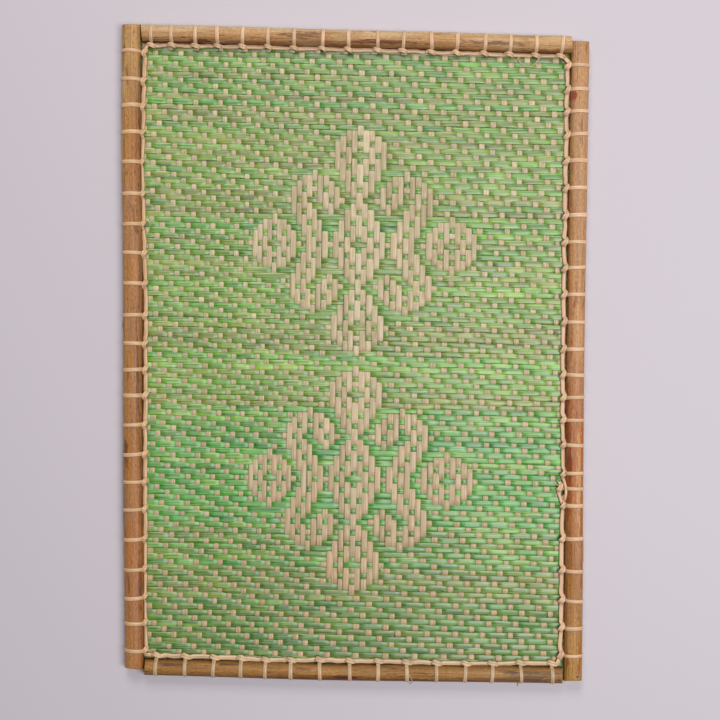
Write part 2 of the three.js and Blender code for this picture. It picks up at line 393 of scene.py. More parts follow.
def past_sheet_edge(side, x, y):
    """How far (x, y) lies in from the sheet's edge under one side's rod."""
    return to_side(side, x, y)[1] + side["width"] / 2 - MAT_EDGE_INSET


def sheet_covers(x, y):
    """True where the sheet is: inside the rods' outer edges by the inset, and in a corner, where
    the bands of two rods cross, only under a rod that reaches that far."""
    inside = np.ones(x.shape, bool)
    in_band, under = [], []
    for side in SIDES.values():
        along, across = to_side(side, x, y)
        half = side["width"] / 2
        inside &= across > MAT_EDGE_INSET - half
        in_band.append(across < half)
        beyond_start = along > side["start"] + ROD_END_COVER
        before_end = along < side["end"] - ROD_END_COVER
        under.append(in_band[-1] & beyond_start & before_end)
    for i in range(4):
        j = (i + 1) % 4
        inside &= ~(in_band[i] & in_band[j]) | under[i] | under[j]
    return inside


def strip_ends(places, lengthwise, rng):
    """The first and last place along each strip that the sheet covers, drawn back by a seeded
    half millimetre."""
    along, place = np.meshgrid(SCAN, places)
    covered = sheet_covers(along, place) if lengthwise == "x" else sheet_covers(place, along)
    covered[:, 0] |= ~covered.any(axis=1)
    from_low = np.argmax(covered, axis=1)
    from_high = np.argmax(covered[:, ::-1], axis=1)
    low = SCAN[from_low] + rng.uniform(0, FRAYED, len(places))
    high = SCAN[len(SCAN) - 1 - from_high] - rng.uniform(0, FRAYED, len(places))
    return low, high


def rings_needed(on_top, first, last):
    """Which of the two samples at each crossing get a ring: a float's two ends, one ring in the
    middle of a float of three crossings, and more on longer ones."""
    length = last - first
    index = np.arange(on_top.shape[1])
    long = on_top & (length >= 3)
    keep = np.zeros((len(on_top), 2 * len(index)), bool)
    keep[:, 0::2] = (first == index) | (long & (index == first + 1))
    keep[:, 1::2] = (last == index) | (long & (index == last - 1))
    keep[:, 0::2] |= on_top & (length >= 6) & (index == (first + last + 1) // 2)
    keep[:, 0::2] |= on_top & (length == 2) & (index == first + 1)
    return keep


def strip_heights(x, y, level):
    """The sheet's lift and its middle plane, plus a strip's level, plus the edge's own lift."""
    edge = np.full(level.shape, np.inf)
    for side in SIDES.values():
        edge = np.minimum(edge, past_sheet_edge(side, x, y))
    held_up = EDGE_LIFT * np.clip(1 - edge / EDGE_LIFT_REACH, 0, 1)
    return lift(x, y) + SHEET_MIDDLE + level + held_up


def strip_directions(tilt, lengthwise):
    """Across and up of rings that are rolled by a tilt about the strip's own length."""
    flat, rise, none = np.cos(tilt), np.sin(tilt), np.zeros(len(tilt))
    if lengthwise == "x":
        return np.stack([none, flat, rise], axis=1), np.stack([none, -rise, flat], axis=1)
    return np.stack([-flat, none, rise], axis=1), np.stack([rise, none, flat], axis=1)


def crossing_samples(cross, spacing, on_top, first, last):
    """Two samples at each crossing, a share of the spacing before it and after it: their places
    along the strips, and their arch, which is 4 s (1 - s) at the share s of a float on top and 0
    elsewhere."""
    before, after = cross - CROSSING_HALF * spacing, cross + CROSSING_HALF * spacing
    along = np.stack([before, after], axis=1).ravel()
    run_start = np.repeat(before[first], 2, 1)
    run_end = np.repeat(after[last], 2, 1)
    share = (along[None, :] - run_start) / (run_end - run_start)
    return along, np.where(np.repeat(on_top, 2, axis=1), 4 * share * (1 - share), 0.0)


def stray(wave, along, phase):
    """A sine along a strip, from its size and the length over which it turns by one radian."""
    size, length = wave
    return size * np.sin(along / length + phase)


def woven_strips(name, lengthwise, strips_of, own, other, on_top, rng, values_of, material):
    """All strips of one direction as one mesh. A strip is a flat closed ribbon with a ring where
    each float starts and ends, and one or more between where it is long. It runs LEVEL above the
    middle plane on top and LEVEL below it elsewhere. A float's arch bows it up, swells it, slides
    it sideways and rolls it; where it dives it is drawn in. Slow sines along it move, roll and
    widen the whole strip a little."""
    places, widths, _ = own
    cross_places, _, cross_spacing = other
    order = np.argsort(cross_places)
    cross, spacing, up_here = cross_places[order], cross_spacing[order], on_top[:, order]
    strips, crossings = up_here.shape
    first, last = run_edges(up_here)
    length = np.repeat(last - first, 2, 1)
    top = np.repeat(up_here, 2, axis=1)
    along, arch = crossing_samples(cross, spacing, up_here, first, last)
    level = np.where(top, LEVEL, -LEVEL) + arch * (np.minimum(length, ARCH_MOST) * ARCH_RISE)

    # Each float has draws of its own, kept under its first crossing.
    draws = rng.normal(0, 1, (3, strips, crossings))
    of_float = np.repeat(draws[:, np.arange(strips)[:, None], first], 2, axis=2)
    swell, slide, turn = of_float

    wobble = rng.uniform(0, TURN, (strips, 2))
    one, two = wobble[:, :1], wobble[:, 1:]
    roll = rng.normal(0, ROLL_SPREAD, (strips, 1)) + stray(ROLL_WAVE, along, one * 3)
    roll = roll + strips_of["roll"] * turn * arch
    sideways = places[:, None] + stray(SIDE_WAVES[0], along, one) + stray(SIDE_WAVES[1], along, two)
    sideways = sideways + strips_of["slide"] * slide * arch
    half_wide = widths[:, None] / 2 * (1 + stray(WIDTH_WAVE, along, two))
    waist = np.where(length > 0, strips_of["waist"], SINGLE_WIDE)
    on_float = waist + (strips_of["swell"] + SWELL_SPREAD * swell) * arch
    half_wide = half_wide * np.where(top, on_float, COVERED_WIDE)

    straight = np.broadcast_to(along, level.shape)
    x, y = (straight, sideways) if lengthwise == "x" else (sideways, straight)
    z = strip_heights(x, y, level)
    low, high = strip_ends(places, lengthwise, rng)
    keep = rings_needed(up_here, first, last)
    keep &= (along > low[:, None] + TRIM) & (along < high[:, None] - TRIM)
    keep &= (high - low > SHORTEST)[:, None]

    kept = np.nonzero(keep)
    strip, sample = kept
    next_strip = strip[1:] != strip[:-1]
    starts_run = np.concatenate([[True], next_strip])
    ends_run = np.concatenate([next_strip, [True]])
    centre = np.stack([x[kept], y[kept], z[kept]], axis=1)
    lengthwise_axis = 0 if lengthwise == "x" else 1
    centre[starts_run, lengthwise_axis] = low[strip[starts_run]]
    centre[ends_run, lengthwise_axis] = high[strip[ends_run]]
    across, up = strip_directions(roll[kept], lengthwise)
    values = values_of(strip, centre, draws[0, strip, first[strip, sample // 2]], rng)
    values["deep"] = np.where(top[kept], DIP * np.clip(1 - arch[kept] / DIP_REACH, 0, 1), 1.0)
    half_thick = np.full(len(strip), HALF_THICK)
    points = ribbon_rings(centre, across, up, STRIP_SECTION, half_wide[kept], half_thick)
    length_at = along[sample] - GRAIN_FROM + GRAIN_STEP * strip
    return swept_piece(name, points, starts_run, ends_run, length_at, shares_round(STRIP_SECTION),
                       values, material)


# ---- Nodes ---------------------------------------------------------------------------------------


class Nodes:
    """A new material, and short ways to add nodes to its tree: settings by keyword, inputs by
    position or name."""

    def __init__(self, name):
        self.material = bpy.data.materials.new(name)
        self.material.use_nodes = True
        self.tree = self.material.node_tree
        self.tree.nodes.clear()

    def fill(self, socket, value):
        if isinstance(value, bpy.types.NodeSocket):
            self.tree.links.new(value, socket)
        else:
            socket.default_value = value

    def add(self, kind, inputs=None, **settings):
        node = self.tree.nodes.new("ShaderNode" + kind)
        for key, value in settings.items():
            setattr(node, key, value)
        for key, value in (inputs or {}).items():
            self.fill(node.inputs[key], value)
        return node

    def math(self, operation, a, b=0.0, clamp=False):
        return self.add("Math", {0: a, 1: b}, operation=operation, use_clamp=clamp).outputs[0]

    def plus(self, a, b, clamp=False):
        return self.math("ADD", a, b, clamp)

    def minus(self, a, b):
        return self.math("SUBTRACT", a, b)

    def times(self, a, b):
        return self.math("MULTIPLY", a, b)

    def over(self, a, b):
        return self.math("DIVIDE", a, b)

    def apart(self, a, b):
        """How far two numbers are from each other."""
        return self.math("ABSOLUTE", self.minus(a, b))

    def mix(self, share, a, b, blend="MIX"):
        node = self.add("Mix", {0: share, 6: a, 7: b}, data_type="RGBA", blend_type=blend)
        return node.outputs[2]

    def shaded(self, colour, shade):
        """A colour times a grey."""
        grey = self.add("CombineColor", {0: shade, 1: shade, 2: shade}).outputs[0]
        return self.mix(1.0, colour, grey, "MULTIPLY")

    def value(self, name):
        return self.add("Attribute", attribute_name=name).outputs["Fac"]

    def steps(self, value, stops):
        """A colour ramp from (position, colour) stops."""
        ramp = self.add("ValToRGB", {0: value})
        elements = ramp.color_ramp.elements
        while len(elements) < len(stops):
            elements.new(0.5)
        for element, (position, colour) in zip(elements, stops):
            element.position = position
            element.color = paint(*colour)
        return ramp.outputs[0]

    def range(self, value, low, high, to_low=0.0, to_high=1.0):
        inputs = {0: value, 1: low, 2: high, 3: to_low, 4: to_high}
        return self.add("MapRange", inputs).outputs[0]

    def own_uv(self):
        """The length along a piece in centimetres and the share of the way round it."""
        parts = self.add("SeparateXYZ", {0: self.add("UVMap", uv_map="UVMap").outputs[0]})
        return parts.outputs[0], parts.outputs[1]

    def streaks(self, uv, along, around, where, detail=3.0, roughness=0.55, distortion=0.0):
        """Noise drawn out along a piece: about so many cells to a centimetre along it and so many
        to one turn round it, from a place of its own in the noise."""
        place = {0: self.times(uv[0], along), 1: self.times(uv[1], around), 2: where}
        vector = self.add("CombineXYZ", place).outputs[0]
        inputs = {"Vector": vector, "Scale": 1.0, "Detail": detail,
                  "Roughness": roughness, "Distortion": distortion}
        return self.add("TexNoise", inputs, noise_dimensions="3D").outputs[0]

    def finish(self, colour, roughness, height, bump, depth, specular=0.5, ior=1.5):
        """The shader, with the height pressed into its normal, to the output. Gives the material."""
        shader = self.add("BsdfPrincipled", {"Base Color": colour, "Roughness": roughness,
                                             "Specular IOR Level": specular, "IOR": ior})
        bumps = self.add("Bump", {"Strength": bump, "Distance": depth, "Height": height})
        self.tree.links.new(bumps.outputs[0], shader.inputs["Normal"])
        output = self.add("OutputMaterial")
        self.tree.links.new(shader.outputs[0], output.inputs[0])
        return self.material


def paint(red, green, blue):
    """A colour given on the 0 to 255 screen scale, as the linear colour of a shader."""
    screen = np.array([red, green, blue]) / 255
    linear = np.where(screen <= 0.04045, screen / 12.92, ((screen + 0.055) / 1.055) ** 2.4)
    return (*[float(v) for v in linear], 1.0)


# ---- Materials of the strips and the cane --------------------------------------------------------

STRIP_CROWN = float(shares_round(STRIP_SECTION)[UPPER_FACE].mean())  # middle of the upper face


def strip_fibres(n, uv):
    """Three measures of a strip's lengthwise grain: fine threads, broad bands a quarter of the
    strip wide, and a slow change along it, each moved by the strip's random number."""
    away = n.times(n.value("strand"), 61.0)
    fine = n.streaks(uv, 0.50, 34.0, away, 3.0, 0.65)
    bands = n.streaks(uv, 0.34, 13.0, away, 2.0, 0.5)
    slow = n.streaks(uv, 0.55, 1.5, away, 2.0, 0.5)
    return fine, bands, slow


def dyed_weft():
    """Split bamboo dyed green: leaf green, olive or emerald by strip, in lengthwise fibres that took
    the dye unevenly, with a painted highlight as a pale line here and there along an edge, and painted
    shade and a little less polish in the dips."""
    n = Nodes("dyed_weft")
    uv = n.own_uv()
    fine, bands, slow = strip_fibres(n, uv)
    light = n.range(n.plus(n.times(fine, 0.35), n.times(bands, 0.65)), 0.40, 0.62)
    emerald = n.mix(light, paint(18, 116, 16), paint(92, 190, 44))
    leaf = n.mix(light, paint(65, 118, 4), paint(137, 187, 30))
    olive = n.mix(light, paint(92, 100, 4), paint(153, 165, 28))
    warm = n.plus(n.value("warmth"), n.range(slow, 0.3, 0.7, -0.18, 0.18), clamp=True)
    colour = n.mix(n.range(warm, 0.0, 0.5), emerald, leaf)
    colour = n.mix(n.range(warm, 0.5, 1.0), colour, olive)
    # Painted highlight: a pale line here and there along the edges of the upper face.
    edge = n.times(n.range(n.apart(uv[1], STRIP_CROWN), 0.07, 0.11), n.range(slow, 0.50, 0.60))
    colour = n.mix(n.times(edge, 0.55), colour, paint(180, 208, 140))
    colour = n.mix(n.range(fine, 0.57, 0.66, 0.0, 0.6), colour, paint(180, 210, 132))
    colour = n.shaded(colour, n.times(n.value("shade"), n.range(slow, 0.3, 0.7, 0.90, 1.08)))
    # Painted shade: the strip turns dark green where it dips under the warps.
    colour = n.mix(n.range(n.value("deep"), 0.3, 1.0, 0.0, 0.5), colour, paint(50, 80, 20))
    polish = n.range(n.value("deep"), 0.0, DIP, 1.0, 0.8)
    roughness = n.range(bands, 0.3, 0.7, 0.42, 0.52)
    return n.finish(colour, roughness, fine, 0.25, 0.0001, specular=polish, ior=1.70)


def natural_warp():
    """Undyed split bamboo: beige to cream, with fine darker threads along it, some of them greenish,
    rosier where its own value says so, and painted shade with a green cast where it dips under the
    wefts."""
    n = Nodes("natural_warp")
    uv = n.own_uv()
    fine, bands, slow = strip_fibres(n, uv)
    light = n.range(n.plus(n.times(fine, 0.5), n.times(bands, 0.5)), 0.42, 0.58)
    beige = n.mix(light, paint(188, 167, 128), paint(209, 191, 155))
    cream = n.mix(light, paint(214, 198, 160), paint(238, 225, 192))
    rose = n.mix(light, paint(184, 145, 108), paint(208, 174, 138))
    colour = n.mix(n.value("cream"), beige, cream)
    colour = n.mix(n.value("rosy"), colour, rose)
    colour = n.mix(n.range(fine, 0.43, 0.36, 0.0, 0.45), colour, paint(146, 148, 92))
    colour = n.shaded(colour, n.times(n.value("shade"), n.range(slow, 0.3, 0.7, 0.94, 1.05)))
    # Painted shade with a painted green cast, as of light off the wefts: the warp darkens where it dips
    # under them.
    colour = n.mix(n.range(n.value("deep"), 0.4, 1.0, 0.0, 0.5), colour, paint(84, 88, 36))
    roughness = n.range(bands, 0.3, 0.7, 0.34, 0.46)
    return n.finish(colour, roughness, fine, 0.3, 0.00008, specular=0.4)


def split_cane(name, light, dark, edge, seam_shade):
    """Split cane: a pale smooth skin with long soft streaks, browner down its two edges as painted
    shade, and a dark middle line of the given strength, painted shade as of a fold."""
    n = Nodes(name)
    uv = n.own_uv()
    fine = n.streaks(uv, 0.8, 18.0, 0.0)
    broad = n.streaks(uv, 1.3, 2.5, 7.0)
    colour = n.mix(n.range(fine, 0.3, 0.7), paint(*dark), paint(*light))
    off_crown = n.apart(n.math("FRACT", n.plus(uv[1], 0.5)), 0.5)
    # Painted shade: browner down the strand's two edges.
    colour = n.mix(n.range(off_crown, 0.13, 0.27, 0.0, 0.75), colour, paint(*edge))
    # Painted shade: a dark line along the middle of the cane, as in the crease of a fold.
    colour = n.mix(n.times(n.range(off_crown, 0.035, 0.012), seam_shade), colour, paint(*edge))
    colour = n.shaded(colour, n.times(n.value("shade"), n.range(broad, 0.3, 0.7, 0.90, 1.04)))
    return n.finish(colour, n.range(broad, 0.3, 0.7, 0.36, 0.5), fine, 0.3, 0.00015)


# ---- The rods' bark ------------------------------------------------------------------------------

# bands: the bark's tones from the inner edge, 0, over the back to the outer edge, 1. They hold painted
# light and shade as well as the bark's own tones: all are darker at the edges as painted shade, the top
# rod's outer side and the left rod's outer half are paler as painted light, and the bottom rod's outer
# side is dark with painted shade.
# tints: tones laid over them along the rod, as (centimetres, colour, strength).
# bloom: a dull film in long patches, and stain a darker one in fewer, as (colour, strength).
# dash: dark marks and hair lines, as (colour, share, where on the back there are more of them).
# marks: single ragged blots, as (centimetres, place over the back, half length, half width,
# colour, strength).
BARKS = {
    "left": dict(
        seed=11.0,
        # Painted light and shade: paler towards the outer side, darker at both edges, most at the inner
        # one.
        bands=((0.0, (90, 43, 10)), (0.10, (130, 71, 26)), (0.22, (168, 105, 48)),
               (0.45, (176, 115, 56)), (0.60, (188, 129, 68)), (0.82, (200, 143, 72)),
               (0.94, (176, 119, 56)), (1.0, (126, 75, 30))),
        tints=((-18.0, (212, 167, 104), 0.70), (-7.0, (190, 135, 86), 0.35),
               (12.0, (186, 112, 52), 0.50)),
        bloom=((170, 126, 92), 0.55), stain=((126, 71, 32), 0.75), dash=((76, 38, 14), 0.50, 0.10),
        marks=((-14.6, 0.80, 0.9, 0.16, (214, 180, 126), 0.6),
               (9.0, 0.90, 0.8, 0.07, (58, 36, 26), 0.8),
               (1.6, 0.30, 2.2, 0.06, (84, 54, 40), 0.7),
               (12.6, 0.25, 1.6, 0.08, (110, 52, 34), 0.7),
               (5.6, 0.70, 0.9, 0.10, (74, 42, 26), 0.7)),
    ),
    "bottom": dict(
        seed=23.0,
        # Painted shade: dark over the outer side and at the inner edge.
        bands=((0.0, (90, 43, 8)), (0.12, (152, 99, 40)), (0.35, (174, 123, 56)),
               (0.55, (172, 120, 54)), (0.70, (142, 86, 28)), (0.84, (106, 54, 14)),
               (1.0, (64, 26, 8))),
        tints=((10.0, (160, 121, 72), 0.35), (-6.0, (170, 115, 46), 0.30)),
        bloom=((144, 103, 58), 0.45), stain=((98, 51, 12), 0.80), dash=((60, 25, 10), 0.55, 0.70),
        marks=((-0.1, 0.62, 0.75, 0.08, (84, 30, 18), 0.95),
               (-9.8, 0.30, 0.9, 0.06, (70, 34, 18), 0.8),
               (-6.6, 0.24, 0.8, 0.07, (84, 42, 20), 0.8),
               (10.2, 0.50, 1.0, 0.20, (84, 56, 32), 0.6),
               (3.4, 0.72, 1.6, 0.08, (96, 54, 28), 0.7)),
    ),
    "right": dict(
        seed=37.0,
        # Painted shade: darker towards both edges, most at the inner one.
        bands=((0.0, (122, 51, 16)), (0.10, (170, 101, 50)), (0.30, (198, 141, 86)),
               (0.55, (200, 145, 92)), (0.80, (196, 141, 84)), (0.94, (178, 121, 68)),
               (1.0, (130, 77, 38))),
        tints=((14.0, (206, 158, 114), 0.50), (-5.5, (180, 96, 26), 0.90),
               (-12.5, (162, 98, 30), 0.80), (-18.0, (186, 134, 54), 0.80)),
        bloom=((176, 140, 114), 0.50), stain=((152, 71, 28), 0.70), dash=((106, 39, 12), 0.30, 0.20),
        # The first blot darkens the nail hole's pit as painted shade.
        marks=((-17.53, 0.64, 0.06, 0.05, (40, 22, 12), 0.9),
               (-6.2, 0.24, 3.2, 0.09, (142, 68, 20), 0.8),
               (-6.6, 0.62, 3.2, 0.08, (216, 162, 104), 0.7),
               (-6.4, 0.94, 3.2, 0.05, (150, 76, 30), 0.7),
               (14.5, 0.26, 0.28, 0.16, (164, 58, 36), 0.9),
               (15.9, 0.06, 0.7, 0.08, (150, 54, 36), 0.8),
               (-3.0, 0.12, 2.6, 0.10, (132, 54, 30), 0.75),
               (-5.8, 0.30, 1.2, 0.06, (120, 52, 26), 0.7),
               (12.6, 0.55, 0.9, 0.05, (128, 84, 66), 0.7)),
    ),
    "top": dict(
        seed=53.0,
        # Painted shade at the inner edge, and painted light: the outer side paler.
        bands=((0.0, (96, 33, 8)), (0.12, (140, 73, 30)), (0.24, (180, 123, 66)),
               (0.42, (194, 140, 82)), (0.58, (202, 154, 98)), (0.74, (220, 186, 138)),
               (1.0, (214, 182, 136))),
        tints=((-10.0, (220, 178, 126), 0.35), (2.0, (196, 149, 90), 0.25)),
        bloom=((216, 186, 142), 0.50), stain=((150, 91, 42), 0.75), dash=((104, 45, 16), 0.40, 0.28),
        marks=((3.1, 0.52, 1.1, 0.13, (112, 66, 36), 0.75),
               (-1.2, 0.34, 1.7, 0.07, (96, 42, 22), 0.8),
               (-7.4, 0.42, 1.5, 0.06, (104, 54, 30), 0.7),
               (8.8, 0.16, 0.6, 0.12, (110, 38, 20), 0.85),
               (-10.4, 0.12, 1.5, 0.11, (142, 56, 26), 0.8),
               (-9.2, 0.72, 1.2, 0.05, (150, 112, 74), 0.6)),
    ),
}
TINT_REACH, TINT_CORE = 7.0, 1.0  # centimetres over which a tint fades
PITH = (206, 178, 132)


def with_blot(n, colour, u, over_back, ragged, blot):
    """A colour with one blot over it: an oval, whose outline the ragged noise pushes about."""
    centimetres, place, half_long, half_wide, tone, strength = blot
    lengthwise = n.over(n.minus(u, centimetres), half_long)
    crosswise = n.over(n.minus(over_back, place), half_wide)
    squares = n.plus(n.math("POWER", lengthwise, 2.0), n.math("POWER", crosswise, 2.0))
    away = n.plus(n.math("SQRT", squares), n.range(ragged, 0.3, 0.7, -0.7, 0.7))
    return n.mix(n.range(away, 1.1, 0.7, 0.0, strength), colour, paint(*tone))


def rod_bark(name, look):
    """The bark of a split rod: bands of tone over the back, partly painted light and shade, tints along
    it, a film and stains in patches, streaks and mottling, dashes and hair lines, blots, painted shade
    as a dark line along the inner edge, and pale pithy cut ends."""
    n = Nodes(name)
    uv = n.own_uv()
    bloom, bloom_share = look["bloom"]
    stain, stain_share = look["stain"]
    dash, dash_share, dash_zone = look["dash"]

    def streaks(along, around, where, detail=3.0, distortion=0.0):
        return n.streaks(uv, along, around, look["seed"] + where, detail, 0.6, distortion)

    wander = streaks(0.13, 3.0, 0.0, 2.0)
    streak = streaks(0.30, 20.0, 3.0)
    hair = streaks(0.14, 56.0, 6.0, 2.0)
    mottle = streaks(5.0, 30.0, 9.0)
    film = streaks(0.30, 5.0, 12.0, 4.0, 0.4)
    spill = streaks(0.45, 6.0, 15.0, 4.0, 0.6)
    mark = streaks(1.5, 30.0, 18.0, 2.0)

    over_back = n.over(uv[1], BACK_SHARE)
    wandering = n.plus(over_back, n.range(wander, 0.35, 0.65, -0.12, 0.12))
    colour = n.steps(wandering, look["bands"])
    for centimetres, tint, strength in look["tints"]:
        near = n.range(n.apart(uv[0], centimetres), TINT_REACH, TINT_CORE, 0.0, strength)
        colour = n.mix(near, colour, paint(*tint))
    colour = n.mix(n.range(film, 0.50, 0.64, 0.0, bloom_share), colour, paint(*bloom))
    colour = n.mix(n.range(spill, 0.58, 0.68, 0.0, stain_share), colour, paint(*stain))
    colour = n.shaded(colour, n.range(streak, 0.38, 0.62, 0.85, 1.10))
    colour = n.shaded(colour, n.range(mottle, 0.35, 0.65, 0.78, 1.18))

    zone = n.range(n.apart(over_back, dash_zone), 0.30, 0.05, 0.0, 0.08)
    hairs = n.range(n.plus(hair, zone), 0.62, 0.70, 0.0, 0.9 * dash_share)
    low = 0.74 - 0.12 * dash_share
    dashes = n.range(n.plus(mark, zone), low, low + 0.06, 0.0, 0.85)
    colour = n.mix(hairs, colour, paint(*dash))
    colour = n.mix(dashes, colour, paint(*dash))
    for blot in look["marks"]:
        colour = with_blot(n, colour, uv[0], over_back, mark, blot)
    # Painted shade: a dark line along the inner edge, where the rod meets the runner.
    inner_edge_shade = n.plus(over_back, n.range(spill, 0.3, 0.7, -0.07, 0.07))
    colour = n.mix(n.range(inner_edge_shade, 0.13, 0.05, 0.0, 0.6), colour, paint(*dash))
    pith = n.shaded(paint(*PITH), n.range(mottle, 0.35, 0.65, 0.80, 1.05))
    colour = n.mix(n.range(n.value("cut"), 0.2, 0.9), colour, pith)
    height = n.minus(n.plus(mottle, streak), n.plus(dashes, hairs))
    return n.finish(colour, n.range(film, 0.4, 0.6, 0.38, 0.58), height, 0.7, 0.0003)


# ---- Rods ----------------------------------------------------------------------------------------

BACK_STEPS = 44
FLAT_STEPS = 4
BACK_SHARE = 0.60  # the round back's share of the way round a rod
SLOW_DEPTH, RIDGE_DEPTH = 0.005, 0.004  # how deep the rod's waves and ridges are, as shares
ROD_RINGS = 160
ROD_END = 3.0  # the even rings stop this far from a rod's ends
EASED_AT = np.array([0, 0.1, 0.3, 0.7])  # at these lengths from an end
EASED_TO = np.array([0.94, 0.975, 0.992, 1.0])  # the rod has these shares of its height
EASED_SIDES = 0.6  # and its sides are drawn in by this share of that
CUT_REACH = 5.0  # the ends' slant and rake fade out over this length
NAIL_HOLES = {"right": dict(along=-175.3, angle=115.0, radius=0.6, depth=1.2)}  # angle in degrees


def rod_back(side, along, angle, grown=0.0):
    """Across and up of a rod's round back: half the width by the angle's cosine and the height by
    a power of its sine, drawn in by up to 3 in 100 where slow waves along and round it are low."""
    slow = np.sin(along / 41 + side["start"] + 1.3 * angle) \
        + np.sin(along / 17 + 2.1 * angle + side["end"])
    ridge = np.sin(6 * angle + along / 60 + side["width"]) + 0.7 * np.sin(13 * angle - along / 75)
    shrink = 1 - SLOW_DEPTH * (2 + slow) - RIDGE_DEPTH * (1.7 + ridge)
    sine = np.clip(np.sin(angle), 0, 1)
    across = (side["width"] / 2 * shrink + grown) * np.cos(angle)
    up = (side["height"] * shrink + grown) * sine ** side["roundness"]
    return across, ROD_BASE + up


def rod_places(side, hole):
    """Where a rod has its rings: evenly along it, closer at its ends and round a hole."""
    start, end = side["start"], side["end"]
    middle = np.linspace(start + ROD_END, end - ROD_END, ROD_RINGS)
    places = [start + EASED_AT, middle, end - EASED_AT[::-1]]
    if hole:
        places.append(hole["along"] + hole["radius"] * np.linspace(-1.6, 1.6, 13))
    return np.sort(np.concatenate(places))


def rod_piece(name, side, material, hole=None):
    """A split rod: its round back and its flat underside, carried along the side, with eased
    ends that are cut a little out of square. The hole is a pit whose depth falls off with the
    fourth power of the distance from its middle."""
    along = rod_places(side, hole)
    from_start, from_end = along - side["start"], side["end"] - along
    eased = np.interp(np.minimum(from_start, from_end), EASED_AT, EASED_TO)[:, None]
    angle = np.linspace(0, np.pi, BACK_STEPS + 1)
    across, up = rod_back(side, along[:, None], angle[None, :])
    if hole:
        off_along = (along[:, None] - hole["along"]) / hole["radius"]
        off_round = (angle[None, :] - np.radians(hole["angle"])) * 0.5 * side["width"] / hole["radius"]
        pit = hole["depth"] * np.exp(-(off_along ** 2 + off_round ** 2) ** 2)
        across = across - pit * np.cos(angle)
        up = up - pit * np.sin(angle)
    across = across * (1 - EASED_SIDES + EASED_SIDES * eased)
    up = (up - ROD_BASE) * eased
    flat_across = across[:, :1] * np.linspace(-1, 1, FLAT_STEPS + 2)[None, 1:-1]
    across = np.concatenate([across, flat_across], axis=1)
    up = np.concatenate([up, np.zeros(flat_across.shape)], axis=1)

    inner_share, high_share = 0.5 + across / side["width"], up / side["height"]
    cut_back = np.zeros(across.shape)
    for end, (away, sign) in enumerate(((from_start, 1), (from_end, -1))):
        lean = side["rakes"][end] * high_share - side["slants"][end] * inner_share
        cut_back += sign * np.clip(1 - away / CUT_REACH, 0, 1)[:, None] * lean
    points = np.stack([along[:, None] + cut_back, across, ROD_BASE + up], axis=-1)
    back = np.linspace(0, BACK_SHARE, BACK_STEPS + 1)
    flat = np.linspace(BACK_SHARE, 1, FLAT_STEPS + 2)[1:]
    rings = np.arange(len(along))
    is_first, is_last = rings == 0, rings == rings[-1]
    cut = (is_first | is_last).astype(float)
    return swept_piece(name, from_side(side, points), is_first, is_last, along,
                       np.concatenate([back, flat]), {"cut": cut}, material)


# ---- Lashing -------------------------------------------------------------------------------------

# The last point is the middle of the rounded face, which a fold's groove draws down.
STRAND_SECTION = np.array([(0, 1), (-0.42, 0.9), (-0.82, 0.4), (-1, -0.3), (-0.85, -1), (0.85, -1),
                           (1, -0.3), (0.82, 0.4), (0.42, 0.9)])
STRAND_THICK = 0.96
LOWEST = 0.02  # the strand is pressed flat against the surface here

# The columns of a control point: its place, the way that the strand's face looks, the strand's
# width and thickness, and how deep it is folded along its middle.
ALONG, INWARD, UP, FACE_ALONG, FACE_INWARD, FACE_UP, WIDE, THICK, GROOVE = range(9)
PLACE = slice(ALONG, UP + 1)
FACE = slice(FACE_ALONG, FACE_UP + 1)
COLUMNS = 9

# One stitch: from the runner through its knot and down, then under the rod and the sheet, up over
# the rod's back, over its inner edge, and out under the knot to the runner. on: millimetres
# forward of the stitch, in the direction of sewing, which is clockwise. inward: from the runner's
# line. above: from the rod's base. wide and thick are shares of the strand's own.
IN_RUN = (
    # on, inward, above, face on, face inward, face up, wide, thick, groove
    (-5.0, 0.0, 0.42, 0, 0, 1, 1.0, 1.0, 0.0),
    (-3.3, -0.05, 0.52, 0, 0, 1, 1.0, 1.0, 0.0),
    (-2.4, -0.40, 1.05, -0.5, 0.1, 1, 1.0, 1.0, 0.3),
    (-1.8, -0.90, 1.85, -0.5, 0.3, 0.9, 1.05, 1.0, 0.6),
    (-1.0, -0.80, 2.50, -0.2, 0.45, 1, 1.12, 1.05, 0.9),
    (0.1, -0.15, 2.60, 0.1, 0.4, 1, 1.2, 1.05, 1.0),
    (1.1, 0.60, 2.05, 0.5, 0.45, 0.8, 1.15, 1.05, 1.0),
    (1.75, 1.10, 1.05, 0.8, 0.6, 0.4, 1.1, 1.0, 0.7),
    (1.8, 1.25, -0.2, 0.8, 0.7, 0, 0.95, 0.9, 0.3),
    (1.3, 1.10, -1.3, 0.5, 0.8, -0.3, 0.85, 0.9, 0.0),
    (0.7, 0.50, -2.2, 0, 0.5, -0.8, 0.9, 0.9, 0.0),
    (0.1, -0.60, -2.44, 0, 0, -1, 0.9, 0.9, 0.0),
)
OUT_RUN = (
    (0.40, -0.70, 1.35, 0.1, 0.4, 0.9, 0.95, 1.0, 0.0),
    (1.3, -0.20, 0.85, 0.2, 0.1, 1, 1.0, 1.0, 0.0),
    (2.7, 0.0, 0.50, 0, 0, 1, 1.0, 1.0, 0.0),
)
OVER_EDGE = (0.05, 0.1, 2.0, 0, 0.7, 0.7, 0.85, 0.85, 0.0)  # inward from the rod's inner edge
ARM_ANGLES = np.radians([170, 150, 128, 106, 84, 62, 42, 24])  # over the rod, from its outer edge
ARM_WIDE, ARM_THICK = 2.25, 0.62
ARM_SUNK = 0.14  # pressed into the bark this deep
